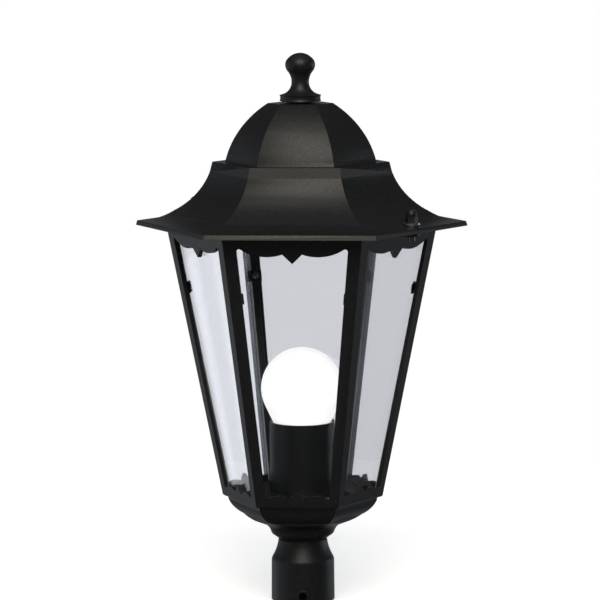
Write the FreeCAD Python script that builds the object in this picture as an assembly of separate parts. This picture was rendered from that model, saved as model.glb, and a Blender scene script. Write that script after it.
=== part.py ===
import FreeCAD, Part
import math
import os

# Post top lantern: a cast hexagonal lantern that drops over a round post.
# Millimetres. Z points up, the origin is the centre of the fitter's bottom rim,
# and one flat side of the hexagon faces -Y, so its corners lie at 0, 60, 120 degrees and so on.
# "Corner radius" is a hexagon's radius across its corners; its flats are COS30 times that.

V = FreeCAD.Vector
UP = V(0, 0, 1)
COS30 = math.cos(math.radians(30))
TAN30 = math.tan(math.radians(30))
ARC = "arc"

# ---------------------------------------------------------------- general fits
thread_gap = 0.05          # a screw in its own tapped hole, on the radius
shank_gap = 0.3            # a screw passing through a plain hole, on the radius
touch_gap = 0.1            # between a piece and one that moves away from it

# ---------------------------------------------------------------- post fitter
post_r = 20.0              # the post tube that goes up inside
post_gap = 0.25
fitter_wall = 3.2
fitter_draft = 0.25        # the sleeve narrows a little upwards
rim_round = 0.9
socket_depth = 28.0
shoulder_rise = 1.4        # the straight sleeve ends this far above the socket
cone_round_in = 0.9        # the round edge between the sleeve and its cone
cone_round_h = 3.2
cone_hollow = 0.34         # below 0.5 the cone is hollow sided
fitter_h = 45.4
neck_r = 18.0
web_t = 4.0                # the wall that the nipple clamps
relief_r = 14.5            # room for the nut above the post
fitter_turn = 4.0          # the fitter stands turned on its nipple, degrees
set_screw_count = 3
set_screw_r = 3.0
set_screw_len = 4.0
set_screw_z = 6.4
screw_boss_r = 4.8
screw_boss_proud = 0.95
set_key_af = 3.0
set_key_depth = 2.0
set_hole_over = 2.0     # the tapped hole runs this far past the sleeve's two faces

# ---------------------------------------------------------------- nipple and its nuts
nipple_r = 5.0
nipple_bore_r = 3.5
nipple_gap = 0.2
nipple_over = 2.0          # thread left showing past each nut
nipple_nut_af = 14.0
nipple_nut_h = 3.0
nipple_washer_r = 8.5
nipple_washer_t = 1.2
gasket_t = 1.0
gasket_in = 1.0            # the gasket is this much smaller than the neck

# ---------------------------------------------------------------- bowl
bowl_h = 31.0
bowl_wall = 3.0
bowl_rise = 0.75           # the hollow's form rises by this share of the wall
bowl_base_t = 4.0
bowl_step = 3.9            # the bowl stands in under the cage by this much, at a corner
bowl_turn_in = 11.4        # from the rim's corner radius down to where the six walls end
bowl_wall_h = 13.4         # height of the six curved walls
bowl_rim_h = 2.9           # the rim's straighter band
bowl_rim_in = 0.4
underside_slope = 22.0     # of the underside from the cove out to the walls, degrees
cove_drop = 3.4
bead_z = 4.6               # top of the bead over the neck
bead_h = 1.0
bead_in = 0.6
cove_r = 30.0              # round underside: outer end of the cove
bead_r = 23.4              # round underside: top of the bead
floor_boss_r = 4.5
floor_screw_place = 47.0   # distance of the three floor screws from the axis
floor_screw_azimuths = (60, 180, 300)
floor_screw_r = 2.0
floor_screw_len = 12.0
floor_head_r = 3.9
floor_head_h = 2.4
earth_place = 28.5
earth_boss_r = 5.0
earth_boss_top = 14.5      # height of the earth boss over the bowl's floor
earth_screw_r = 2.0
earth_screw_len = 5.0
earth_washer_r = 4.6
earth_washer_t = 0.8
earth_head_r = 3.6
earth_head_h = 2.4
hole_spare = 0.5           # a tapped hole is this much deeper than its screw

# ---------------------------------------------------------------- cage
cage_h = 202.2
cage_foot_r = 59.4         # corner radius at the bottom
cage_lean = 11.29          # lean of the corner posts, degrees
cage_wall = 3.0
cage_edge_round = 0.9
foot_chamfer = 0.9
foot_flange_t = 2.5
foot_flange_in = 36.5      # half width across the flats of the hole in the bottom flange
leg_top_w = 9.1            # width of a post's leg at the valance
leg_foot_w = 7.2           # and at the bottom rail
# bottom rail ornament: heights over the cage's foot, places along the rail from its middle
foot_tip_h = 12.4
foot_notch = (4.9, 6.1)
foot_swell = (13.0, 9.4)
foot_end_h = 6.5
foot_end_in = 1.7          # the swell ends this far short of the post
foot_cusp_h = 8.0
# top valance: drops below the cage's top, places along the rail from its middle
head_tip_drop = 20.1
head_notch = (7.1, 13.2)
head_swell = (18.8, 15.1)
head_end_drop = 9.4
head_end_in = 2.4
head_end_round = 0.5
head_cusp_drop = 11.6
lug_out = 9.59937          # from the cage's top edge out to the roof studs
lug_r = 5.6
lug_t = 3.6
lug_root = 1.5             # the arm starts this far outside the roof's opening, within the rail
lug_azimuths = (-30, 150)

# ---------------------------------------------------------------- glass and its clips
glass_t = 3.0
glass_corner_gap = 4.5     # a pane's edge to the inside corner of the cage
glass_head_gap = 2.4       # from the top of a pane to the roof
clip_z = 233.5
clip_h = 8.0
clip_flat = 2.8            # half width of the flat middle
clip_wing = 4.9            # half width over the wings
clip_t = 0.8
clip_boss_r = 2.1
clip_screw_r = 1.25
clip_screw_len = 7.0
clip_head_r = 2.7
clip_head_h = 1.8

# ---------------------------------------------------------------- floor plate
floor_t = 2.1
floor_edge_gap = 0.4
floor_hole_gap = 0.6       # round the lampholder

# ---------------------------------------------------------------- roof
roof_wall = 2.6
roof_sink = 0.75           # the hollow's form drops by this share of the wall
eave_r = 122.0
lip_w = 3.5
lip_drop = 0.8             # the eave's lip hangs below its seat on the cage
lip_h = 3.4
lip_draft = 1.1            # the lip's face leans in as it rises
eave_flat_out = 11.85      # from the flare out to the middle of the eave's curve
eave_rise = 2.1            # at the middle of the flare
flare_r = 93.65
flare_h = 7.4
skirt_hollow = (0.29, 0.53)   # the skirt's middle, as shares of its run and rise
band_h = 7.3               # the straight band under the ledge
band_out = 1.9
skirt_top_r = 65.0
skirt_h = 46.7             # from the lip's bottom to the ledge
dome_foot_r = 55.5
dome_h = 42.9
dome_bulge = (0.623, 0.582)   # the dome's middle, as shares of its run and rise
plateau_r = 23.9
pad_r = 10.5
pad_h = 1.6
seat_lap = 3.10063         # width of the roof's seat on the cage's top
spot_r = 6.6               # round seat for each cap nut's washer
spot_h = 2.2               # over the eave's top edge
spot_clear = 0.3           # the seat is cut this much wider where the flare rises

# ---------------------------------------------------------------- finial and its screw
finial_h = 35.0
finial_foot_r = 15.2
finial_foot_h = 4.3
finial_foot_hollow = 0.5
finial_neck_r = 6.4
finial_ball_r = 10.95
finial_screw_r = 3.0
finial_screw_in = 10.5
finial_head_af = 10.0
finial_head_h = 4.0
finial_washer_r = 9.0
finial_washer_t = 1.2

# ---------------------------------------------------------------- studs, washers and cap nuts
stud_r = 2.5
stud_below = 3.7           # the stud's bare end under its lug
cap_engage = 7.0           # thread inside the nut
cap_washer_r = 6.25
cap_washer_t = 1.0
cap_nut_af = 8.0
cap_nut_hex_h = 4.2
cap_nut_h = 10.0
cap_dome_r = 3.7
cap_dome_top_r = 2.0
cap_bore_spare = 0.8

# ---------------------------------------------------------------- lampholder, bracket and shroud
strap_w = 14.0
strap_t = 1.5
strap_half = 11.0          # half length of the strap's base
strap_h = 13.6
strap_foot = 7.0
holder_r = 19.0
holder_neck_r = 17.2
holder_chamfer = 1.0
holder_base_h = 20.0
holder_floor_h = 16.0      # ceramic under the contact
holder_mouth_gap = 0.7     # from the holder's mouth to the lamp's shoulder
contact_rise = 3.5         # the centre contact stands this high over the well's floor
sleeve_t = 0.4
sleeve_foot_w = 3.0
sleeve_link_w = 6.0
sleeve_gap = 0.2           # round the lamp's cap
sleeve_from = 3.5          # the round sleeve begins this far above the well's floor
sleeve_in = 1.0            # and ends this far inside the holder's mouth
holder_screw_r = 1.5
holder_screw_in = 8.0
holder_head_r = 2.7
holder_head_h = 1.6
contact_w = 6.0
contact_t = 0.5
contact_reach = (8.5, 4.5, 1.5, 4.0)   # from the middle: its end, its bend, its flat, its free tip
contact_dip = 0.8          # the free tip bends down by this much
terminal_x = 6.0
terminal_y = 12.5
terminal_w = 5.6
terminal_d = 6.0
terminal_h = 5.5
terminal_bore_r = 1.4
terminal_screw_r = 1.25
terminal_head_r = 2.1
terminal_head_h = 1.4
shroud_r = 24.0
shroud_wall = 1.6
shroud_drop = 24.6         # from the middle of the lamp's ball down to the rim
shroud_rib_w = 2.0
shroud_rib_h = 22.0
shroud_rib_gap = 0.1

# ---------------------------------------------------------------- lamp
bulb_r = 30.0
bulb_len = 105.0
bulb_taper = 25.0          # half angle of the cone under the ball, degrees
bulb_neck_r = 14.4
bulb_cone_end = 38.0       # height over the contact where the cone meets the neck
bulb_neck_bend = 9.0       # height of the bend under the cone
bulb_plug_in = 6.0         # the glass goes this far down into its cap
bulb_plug_gap = 0.05
bulb_wall = 1.0
cap_r = 13.1
cap_len = 26.5
cap_wall = 0.35
cap_button_r = 4.75
cap_button_h = 1.0
cap_insulator_r = 9.0
cap_insulator_h = 3.0
insulator_step = 1.2
cap_cone_h = 2.6

# ---------------------------------------------------------------- levels, worked out
bore_r = post_r + post_gap
rim_r = bore_r + fitter_wall
shoulder_z = socket_depth + shoulder_rise
bowl_z = fitter_h + gasket_t
cage_z = bowl_z + bowl_h
floor_seat_z = cage_z + foot_flange_t
floor_z = floor_seat_z + floor_t
cage_top = cage_z + cage_h
lean = math.tan(math.radians(cage_lean))
face_tilt = math.atan(lean * COS30)
wall_level = cage_wall / math.cos(face_tilt)
glass_level = glass_t / math.cos(face_tilt)
lip_z = cage_top - lip_drop
eave_top = lip_z + lip_h
ledge_z = lip_z + skirt_h
plateau_z = ledge_z + dome_h
pad_top = plateau_z + pad_h
bracket_z = bowl_z + bowl_base_t
holder_z = bracket_z + strap_h
well_z = holder_z + holder_floor_h
contact_z = well_z + contact_rise
button_z = contact_z + touch_gap
holder_top = button_z + cap_len - holder_mouth_gap
ball_z = button_z + bulb_len - bulb_r
shroud_h = ball_z - shroud_drop - floor_z
head_flat = (cage_foot_r + lean * cage_h) * COS30
seat_in = head_flat - seat_lap
lug_place = head_flat + lug_out
eave_flat_r = flare_r + eave_flat_out


# ================================================================ shape helpers
def edges_through(points):
    """Lines between points in a plane; a point marked ARC is the middle of a round stretch."""
    edges = []
    start = points[0][:3]
    middle = None
    for point in points[1:]:
        if point[-1] == ARC:
            middle = point[:3]
            continue
        if middle is None:
            edges.append(Part.LineSegment(V(*start), V(*point[:3])).toShape())
        else:
            edges.append(Part.Arc(V(*start), V(*middle), V(*point[:3])).toShape())
        start = point[:3]
        middle = None
    return edges


def upright(outline, scale=1.0):
    """(radius, height) points set in the XZ plane."""
    return [(p[0] * scale, 0, p[1]) + tuple(p[2:]) for p in outline]


def turned(outline):
    """A round solid from its closed (radius, height) outline."""
    wire = Part.Wire(edges_through(upright(list(outline) + [outline[0][:2]])))
    return Part.Face(wire).revolve(V(0, 0, 0), UP, 360)


def hexagonal(outline):
    """A six sided solid whose sides follow a (corner radius, height) outline, bottom to top."""
    right = upright(outline, COS30)
    left = [(-p[0],) + tuple(p[1:]) for p in reversed(right)]
    wire = Part.Wire(edges_through(right + left + [right[0][:3]]))
    reach = 2 * max(p[0] for p in outline)
    slab = Part.Face(wire)
    slab.translate(V(0, -reach, 0))
    slab = slab.extrude(V(0, 2 * reach, 0))
    solid = None
    for angle in (30, 90, 150):
        turned_slab = slab.copy()
        turned_slab.rotate(V(0, 0, 0), UP, angle)
        solid = turned_slab if solid is None else solid.common(turned_slab)
    return solid


def crown(edge_r, drop, top):
    """A shallow round crown: from its edge, over a sphere centred on the axis, to its top."""
    ball = (edge_r ** 2 + drop ** 2) / (2 * drop)
    half = math.asin(edge_r / ball) / 2
    middle = (ball * math.sin(half), top - ball + ball * math.cos(half), ARC)
    return [(edge_r, top - drop), middle, (0, top)]


def shifted(outline, out, up):
    """The same outline moved by (out, up)."""
    return [(p[0] + out, p[1] + up) + tuple(p[2:]) for p in outline]


def polygon_prism(points, height):
    """Points (x, y, z) in one level plane, pulled up by height."""
    wire = Part.makePolygon([V(*p) for p in points] + [V(*points[0])])
    return Part.Face(wire).extrude(V(0, 0, height))


def hex_prism(flat_half, z0, z1, azimuth=0):
    """An upright hexagonal prism by half its width across flats; corners start at azimuth."""
    corners = []
    for i in range(6):
        a = math.radians(azimuth + 60 * i)
        corners.append((flat_half / COS30 * math.cos(a), flat_half / COS30 * math.sin(a), z0))
    return polygon_prism(corners, z1 - z0)


def rod(r, start, length, direction=UP):
    return Part.makeCylinder(r, length, V(*start), direction)


def pipe(r_out, r_in, z0, z1):
    return rod(r_out, (0, 0, z0), z1 - z0).cut(rod(r_in, (0, 0, z0), z1 - z0))


def spun(shape, azimuth):
    copy = shape.copy()
    copy.rotate(V(0, 0, 0), UP, azimuth)
    return copy


def placed(shape, x, y, z=0):
    copy = shape.copy()
    copy.translate(V(x, y, z))
    return copy


def on_circle(radius, azimuth, z=0):
    a = math.radians(azimuth)
    return (radius * math.cos(a), radius * math.sin(a), z)


def joined(shapes):
    whole = shapes[0]
    for shape in shapes[1:]:
        whole = whole.fuse(shape)
    return whole.removeSplitter()


def hex_nut(flat_half, bore, z0, height):
    return hex_prism(flat_half, z0, z0 + height).cut(rod(bore, (0, 0, z0), height))


def pan_screw(shank_r, shank_len, head_r, head_h):
    """A pan head screw pointing down, its head standing on z = 0."""
    head = turned([(0, 0), (head_r, 0), (head_r, 0.45 * head_h), (0.85 * head_r, 0.85 * head_h, ARC),
                   (0.5 * head_r, head_h), (0, head_h)])
    slot = Part.makeBox(2 * head_r, 0.3 * head_r, 0.45 * head_h, V(-head_r, -0.15 * head_r, 0.55 * head_h))
    return head.cut(slot).fuse(rod(shank_r, (0, 0, -shank_len), shank_len)).removeSplitter()


# ================================================================ fitter group
def fitter_outer():
    shoulder_r = rim_r - fitter_draft
    cone_r = shoulder_r - cone_round_in
    cone_z = shoulder_z + cone_round_h
    return turned([
        (0, 0), (rim_r - rim_round, 0),
        (rim_r - 0.3 * rim_round, 0.3 * rim_round, ARC), (rim_r, rim_round),
        (shoulder_r, shoulder_z),
        (shoulder_r - 0.28 * cone_round_in, shoulder_z + 0.56 * cone_round_h, ARC), (cone_r, cone_z),
        (neck_r + cone_hollow * (cone_r - neck_r), (cone_z + fitter_h) / 2, ARC), (neck_r, fitter_h),
        (0, fitter_h)])


def set_screw_azimuths():
    first = fitter_turn - 90
    return [first + 360 / set_screw_count * i for i in range(set_screw_count)]


def fitter():
    body = fitter_outer()
    for azimuth in set_screw_azimuths():
        boss_len = rim_r + screw_boss_proud - bore_r
        boss = rod(screw_boss_r, (bore_r, 0, set_screw_z), boss_len, V(1, 0, 0))
        rim = [e for e in boss.Edges if abs(e.CenterOfMass.x - bore_r - boss_len) < 0.01]
        boss = boss.makeFillet(0.6 * screw_boss_proud, rim)
        body = body.fuse(spun(boss, azimuth))
    body = body.cut(rod(bore_r, (0, 0, 0), socket_depth))
    body = body.cut(rod(relief_r, (0, 0, socket_depth), fitter_h - web_t - socket_depth))
    body = body.cut(rod(nipple_r + nipple_gap, (0, 0, fitter_h - web_t), web_t))
    for azimuth in set_screw_azimuths():
        start = (bore_r - set_hole_over, 0, set_screw_z)
        hole = rod(set_screw_r + thread_gap, start, fitter_wall + 2 * set_hole_over, V(1, 0, 0))
        body = body.cut(spun(hole, azimuth))
    return body


def set_screw(azimuth):
    """A grub screw with its tip level with the socket's wall and a hexagon key socket outside."""
    tip = bore_r + touch_gap
    screw = rod(set_screw_r, (0, 0, 0), set_screw_len)
    key = hex_prism(set_key_af / 2, set_screw_len - set_key_depth, set_screw_len)
    screw = screw.cut(key)
    screw.rotate(V(0, 0, 0), V(0, 1, 0), 90)
    return spun(placed(screw, tip, 0, set_screw_z), azimuth)


def neck_gasket():
    return pipe(neck_r - gasket_in, nipple_r + nipple_gap, fitter_h, bowl_z)


def nipple_ends():
    bottom = fitter_h - web_t - nipple_washer_t - nipple_nut_h - nipple_over
    top = bracket_z + strap_t + nipple_washer_t + nipple_nut_h + nipple_over
    return bottom, top


def nipple():
    bottom, top = nipple_ends()
    return pipe(nipple_r, nipple_bore_r, bottom, top)


def nipple_washer(z):
    return pipe(nipple_washer_r, nipple_r + nipple_gap, z, z + nipple_washer_t)


def nipple_nut(z):
    return hex_nut(nipple_nut_af / 2, nipple_r + thread_gap, z, nipple_nut_h)


# ================================================================ bowl group
def bowl_hex_outline():
    rim = cage_foot_r - bowl_step
    inner = rim - bowl_turn_in
    wall_z = cage_z - bowl_wall_h
    return [(inner, bowl_z), (inner, wall_z),
            (inner + 0.56 * bowl_turn_in, wall_z + 0.32 * bowl_wall_h, ARC),
            (rim - bowl_rim_in, cage_z - bowl_rim_h), (rim, cage_z)]


def bowl_round_outline():
    inner = cage_foot_r - bowl_step - bowl_turn_in
    wall_z = cage_z - bowl_wall_h
    slope = math.tan(math.radians(underside_slope))
    cove_z = wall_z - slope * (inner - cove_r)
    far = cage_foot_r + bowl_step
    return [(neck_r, bowl_z), (bead_r - bead_in, bowl_z + bead_z - bead_h), (bead_r, bowl_z + bead_z),
            (bead_r + 0.3 * (cove_r - bead_r), cove_z - cove_drop, ARC), (cove_r, cove_z),
            (far, wall_z + slope * (far - inner)), (far, cage_z)]


def bowl_form(out, up):
    """The bowl's outside, or with an offset the form of its hollow."""
    round_side = shifted(bowl_round_outline(), out, up)
    core = turned([(0, round_side[0][1])] + round_side + [(0, round_side[-1][1])])
    return hexagonal(shifted(bowl_hex_outline(), out / COS30, up)).common(core)


def earth_boss_z():
    return bracket_z + earth_boss_top


def bowl():
    outside = bowl_form(0, 0)
    hollow = bowl_form(-bowl_wall, bowl_rise * bowl_wall)
    hollow = hollow.common(rod(2 * cage_foot_r, (0, 0, bracket_z), bowl_h))
    body = outside.cut(hollow)
    for azimuth in floor_screw_azimuths:
        boss = rod(floor_boss_r, on_circle(floor_screw_place, azimuth, bowl_z), bowl_h)
        body = body.fuse(boss.common(outside))
    earth = rod(earth_boss_r, (0, -earth_place, bowl_z), earth_boss_z() - bowl_z)
    body = body.fuse(earth.common(outside))
    depth = floor_screw_len - floor_t - foot_flange_t + hole_spare
    for azimuth in floor_screw_azimuths:
        hole = rod(floor_screw_r + thread_gap, on_circle(floor_screw_place, azimuth, cage_z - depth), depth)
        body = body.cut(hole)
    body = body.cut(rod(nipple_r + nipple_gap, (0, 0, bowl_z), bowl_base_t))
    depth = earth_screw_len + hole_spare
    return body.cut(rod(earth_screw_r + thread_gap, (0, -earth_place, earth_boss_z() - depth), depth))


def floor_plate():
    flat_half = (cage_foot_r + lean * foot_flange_t) * COS30 - wall_level - glass_level - floor_edge_gap
    plate = hex_prism(flat_half, floor_seat_z, floor_z)
    plate = plate.cut(rod(holder_r + floor_hole_gap, (0, 0, floor_seat_z), floor_t))
    for azimuth in floor_screw_azimuths:
        hole = rod(floor_screw_r + shank_gap, on_circle(floor_screw_place, azimuth, floor_seat_z), floor_t)
        plate = plate.cut(hole)
    return plate


def floor_screws():
    screw = pan_screw(floor_screw_r, floor_screw_len, floor_head_r, floor_head_h)
    places = [on_circle(floor_screw_place, azimuth, floor_z) for azimuth in floor_screw_azimuths]
    return Part.makeCompound([placed(screw, *place) for place in places])


def earth_washer():
    ring = rod(earth_washer_r, (0, -earth_place, earth_boss_z()), earth_washer_t)
    return ring.cut(rod(earth_screw_r + shank_gap, (0, -earth_place, earth_boss_z()), earth_washer_t))


def earth_screw():
    screw = pan_screw(earth_screw_r, earth_screw_len, earth_head_r, earth_head_h)
    return placed(screw, 0, -earth_place, earth_boss_z() + earth_washer_t)


# ================================================================ cage
def cage_corner_r(z):
    return cage_foot_r + lean * (z - cage_z)


def cage_inside(z0, z1, inset):
    """The leaning six sided space inside the cage, drawn in by a level distance."""
    return hexagonal([(cage_corner_r(z) - inset / COS30, z) for z in (z0, z1)])


def window():
    """One window's outline, from the scalloped bottom rail to the valance, through the front wall."""
    foot_post = cage_corner_r(cage_z + foot_cusp_h) / 2 - leg_foot_w
    head_post = cage_corner_r(cage_top - head_cusp_drop) / 2 - leg_top_w
    half = [
        (0, cage_z + foot_tip_h),
        (foot_notch[0], cage_z + foot_notch[1]),
        (foot_swell[0], cage_z + foot_swell[1], ARC),
        (foot_post - foot_end_in, cage_z + foot_end_h),
        (foot_post, cage_z + foot_cusp_h),
        (head_post, cage_top - head_cusp_drop),
        (head_post - 0.25 * head_end_in, cage_top - head_end_drop - head_end_round, ARC),
        (head_post - head_end_in, cage_top - head_end_drop),
        (head_swell[0], cage_top - head_swell[1], ARC),
        (head_notch[0], cage_top - head_notch[1]),
        (0, cage_top - head_tip_drop)]
    mirrored = [(-p[0],) + tuple(p[1:]) for p in reversed(half[:-1])]
    face = Part.Face(Part.Wire(edges_through(upright(half + mirrored))))
    face.translate(V(0, -cage_corner_r(cage_top), 0))
    return face.extrude(V(0, cage_corner_r(cage_top) - foot_flange_in / 2, 0))


def lug(azimuth):
    ear = rod(lug_r, (lug_place, 0, cage_top - lug_t), lug_t)
    arm_from = seat_in + lug_root
    arm = Part.makeBox(lug_place - arm_from, 2 * lug_r, lug_t, V(arm_from, -lug_r, cage_top - lug_t))
    hole = rod(stud_r + thread_gap, (lug_place, 0, cage_top - lug_t), lug_t)
    return spun(ear.fuse(arm).cut(hole), azimuth)


def clip_frame(z):
    """At height z on the 0 degree corner: the clip's seat point and the outward screw direction."""
    glass_corner = cage_corner_r(z) - (wall_level + glass_level) / COS30
    seat = V(glass_corner - clip_flat * TAN30, 0, z)
    a = math.radians(cage_lean)
    return seat, V(math.cos(a), 0, -math.sin(a))


def cage_frame():
    outer = hexagonal([(cage_corner_r(cage_z) - foot_chamfer, cage_z),
                       (cage_corner_r(cage_z + foot_chamfer), cage_z + foot_chamfer),
                       (cage_corner_r(cage_top), cage_top)])
    posts = [e for e in outer.Edges if e.BoundBox.ZLength > 0.9 * cage_h]
    outer = outer.makeFillet(cage_edge_round, posts)
    body = outer.cut(cage_inside(floor_seat_z, cage_top, wall_level))
    body = body.cut(hex_prism(foot_flange_in, cage_z, floor_seat_z))
    opening = window()
    for i in range(6):
        body = body.cut(spun(opening, 60 * i))
    seat, outward = clip_frame(clip_z)
    boss = rod(clip_boss_r, seat, clip_flat * TAN30 + wall_level + glass_level, outward)
    boss = boss.common(outer)
    hole = rod(clip_screw_r + thread_gap, seat, clip_screw_len, outward)
    for i in range(6):
        body = body.fuse(spun(boss, 60 * i)).cut(spun(hole, 60 * i))
    for azimuth in floor_screw_azimuths:
        place = on_circle(floor_screw_place, azimuth, cage_z)
        body = body.cut(rod(floor_screw_r + shank_gap, place, foot_flange_t))
    for azimuth in lug_azimuths:
        body = body.fuse(lug(azimuth))
    return body.removeSplitter()


def glass_pane(azimuth):
    """A flat pane standing on the bottom flange, against the inside of one window."""
    top = cage_top - glass_head_gap
    corners = []
    for z, side in ((floor_seat_z, -1), (floor_seat_z, 1), (top, 1), (top, -1)):
        flat = cage_corner_r(z) * COS30 - wall_level
        corners.append(V(side * (flat * TAN30 - glass_corner_gap), -flat, z))
    face = Part.Face(Part.makePolygon(corners + [corners[0]]))
    inward = V(0, glass_t * math.cos(face_tilt), glass_t * math.sin(face_tilt))
    return spun(face.extrude(inward), azimuth + 90)


def clip_plate():
    """A bent plate over the edges of two panes, made on the 0 degree corner."""
    half = clip_h / 2
    flat_x = clip_frame(clip_z - half)[0].x
    wing_x = flat_x - (clip_wing - clip_flat) * TAN30
    outside = [(wing_x, -clip_wing), (flat_x, -clip_flat), (flat_x, clip_flat), (wing_x, clip_wing)]
    inside = [(x - clip_t / COS30, y) for x, y in reversed(outside)]
    wire = Part.makePolygon([V(x, y, clip_z - half) for x, y in outside + inside + outside[:1]])
    plate = Part.Face(wire).extrude(V(lean * clip_h, 0, clip_h))
    middle, outward = clip_frame(clip_z)
    hole = rod(clip_screw_r + shank_gap, middle - outward * 3 * clip_t, 6 * clip_t, outward)
    return plate.cut(hole)


def clip_screw():
    screw = pan_screw(clip_screw_r, clip_screw_len - 1, clip_head_r, clip_head_h)
    screw.rotate(V(0, 0, 0), V(0, 1, 0), -90 + cage_lean)
    seat, outward = clip_frame(clip_z)
    head_seat = seat - outward * (clip_t / COS30 * math.cos(math.radians(cage_lean)))
    return placed(screw, head_seat.x, head_seat.y, head_seat.z)


def six_round(shape):
    return Part.makeCompound([spun(shape, 60 * i) for i in range(6)])


# ================================================================ roof group
def dome_outline():
    rise = plateau_z - ledge_z
    bulge = (plateau_r + dome_bulge[0] * (dome_foot_r - plateau_r), ledge_z + dome_bulge[1] * rise, ARC)
    return [(dome_foot_r, ledge_z), bulge, (plateau_r, plateau_z)]


def skirt_outline():
    band_z = ledge_z - band_h
    band_r = skirt_top_r + band_out
    flare_z = eave_top + flare_h
    run, rise = skirt_hollow
    middle = (band_r + run * (flare_r - band_r), flare_z + rise * (band_z - flare_z), ARC)
    return [(eave_r, lip_z), (eave_r - lip_draft, eave_top),
            (eave_flat_r, eave_top + eave_rise, ARC), (flare_r, flare_z),
            middle, (band_r, band_z), (skirt_top_r, ledge_z)]


def roof_form(out, up):
    return hexagonal(shifted(skirt_outline() + dome_outline(), out, up))


def stud_seat_z():
    return eave_top + spot_h


def roof_shell():
    body = roof_form(0, 0)
    hollow = roof_form(-roof_wall / COS30, -roof_sink * roof_wall)
    below = lip_z - 2 * roof_wall
    body = body.cut(hollow.common(hex_prism(seat_in, below, plateau_z)))
    pocket = (eave_r - lip_w) * COS30
    body = body.cut(hex_prism(pocket, below, cage_top))
    body = body.fuse(rod(pad_r, (0, 0, plateau_z - 1), pad_h + 1))
    for azimuth in lug_azimuths:
        spot = rod(spot_r, on_circle(lug_place, azimuth, cage_top), stud_seat_z() - cage_top)
        clear = rod(spot_r + spot_clear, on_circle(lug_place, azimuth, stud_seat_z()), cap_nut_h)
        hole = rod(stud_r + shank_gap, on_circle(lug_place, azimuth, cage_top), cap_nut_h)
        body = body.fuse(spot).cut(clear).cut(hole)
    screw_hole = rod(finial_screw_r + shank_gap, (0, 0, ledge_z), pad_top - ledge_z)
    return body.cut(screw_hole).removeSplitter()


def dome_ceiling():
    return plateau_z - roof_sink * roof_wall


def finial():
    base = pad_top
    h = finial_h
    foot = base + finial_foot_h
    body = turned([
        (0, base), (finial_foot_r, base),
        (finial_foot_r - finial_foot_hollow, base + finial_foot_h / 2, ARC), (finial_foot_r, foot),
        (0.78 * finial_foot_r, foot + 0.03 * h),
        (1.17 * finial_neck_r, base + 0.266 * h, ARC), (finial_neck_r, base + 0.386 * h),
        (1.08 * finial_neck_r, base + 0.494 * h, ARC), (0.82 * finial_ball_r, base + 0.609 * h),
        (0.965 * finial_ball_r, base + 0.686 * h, ARC), (finial_ball_r, base + 0.757 * h),
        (0.93 * finial_ball_r, base + 0.84 * h, ARC)] + crown(0.77 * finial_ball_r, 0.1 * h, base + h))
    hole = rod(finial_screw_r + thread_gap, (0, 0, base), finial_screw_in + hole_spare)
    return body.cut(hole)


def finial_washer():
    top = dome_ceiling()
    return pipe(finial_washer_r, finial_screw_r + shank_gap, top - finial_washer_t, top)


def finial_screw():
    head_top = dome_ceiling() - finial_washer_t
    head = hex_prism(finial_head_af / 2, head_top - finial_head_h, head_top)
    shank = rod(finial_screw_r, (0, 0, head_top), pad_top + finial_screw_in - head_top)
    return head.fuse(shank).removeSplitter()


# ================================================================ studs and cap nuts
def nut_seat_z():
    return stud_seat_z() + cap_washer_t


def roof_studs():
    bottom = cage_top - lug_t - stud_below
    length = nut_seat_z() + cap_engage - bottom
    return Part.makeCompound([rod(stud_r, on_circle(lug_place, a, bottom), length) for a in lug_azimuths])


def cap_washer(azimuth):
    ring = pipe(cap_washer_r, stud_r + shank_gap, stud_seat_z(), nut_seat_z())
    return placed(ring, *on_circle(lug_place, azimuth))


def cap_nut(azimuth):
    """A domed nut: a hexagon with a round crown, bored blind from below."""
    z = nut_seat_z()
    dome = turned([(0, z), (cap_dome_r, z), (cap_dome_r, z + 1.2 * cap_nut_hex_h),
                   (0.86 * cap_dome_r, z + 0.84 * cap_nut_h, ARC), (cap_dome_top_r, z + 0.97 * cap_nut_h),
                   (0, z + cap_nut_h)])
    body = hex_prism(cap_nut_af / 2, z, z + cap_nut_hex_h).fuse(dome)
    bore = rod(stud_r + thread_gap, (0, 0, z), cap_engage + cap_bore_spare)
    return placed(body.cut(bore).removeSplitter(), *on_circle(lug_place, azimuth))


# ================================================================ lampholder group
def holder_bracket():
    """A strap bent up at both ends, with feet turned outwards under the lampholder."""
    z = bracket_z
    top = holder_z
    t = strap_t
    x = strap_half
    f = strap_half + strap_foot
    half = [(x, z), (x, top - t), (f, top - t), (f, top), (x - t, top), (x - t, z + t)]
    outline = [(-x, z)] + half + [(t - x, z + t), (t - x, top), (-f, top), (-f, top - t), (-x, top - t)]
    wire = Part.makePolygon([V(a, -strap_w / 2, b) for a, b in outline + outline[:1]])
    strap = Part.Face(wire).extrude(V(0, strap_w, 0))
    strap = strap.cut(rod(nipple_r + nipple_gap, (0, 0, z), t))
    for side in (-1, 1):
        place = (side * holder_screw_x(), 0, top - t)
        strap = strap.cut(rod(holder_screw_r + shank_gap, place, t))
    return strap


def holder_screw_x():
    return strap_half + 0.55 * strap_foot


def holder_screws():
    screw = pan_screw(holder_screw_r, strap_t + holder_screw_in, holder_head_r, holder_head_h)
    screw.rotate(V(0, 0, 0), V(1, 0, 0), 180)
    z = holder_z - strap_t
    return Part.makeCompound([placed(screw, side * holder_screw_x(), 0, z) for side in (-1, 1)])


def sleeve_r():
    return cap_r + sleeve_gap


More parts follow.
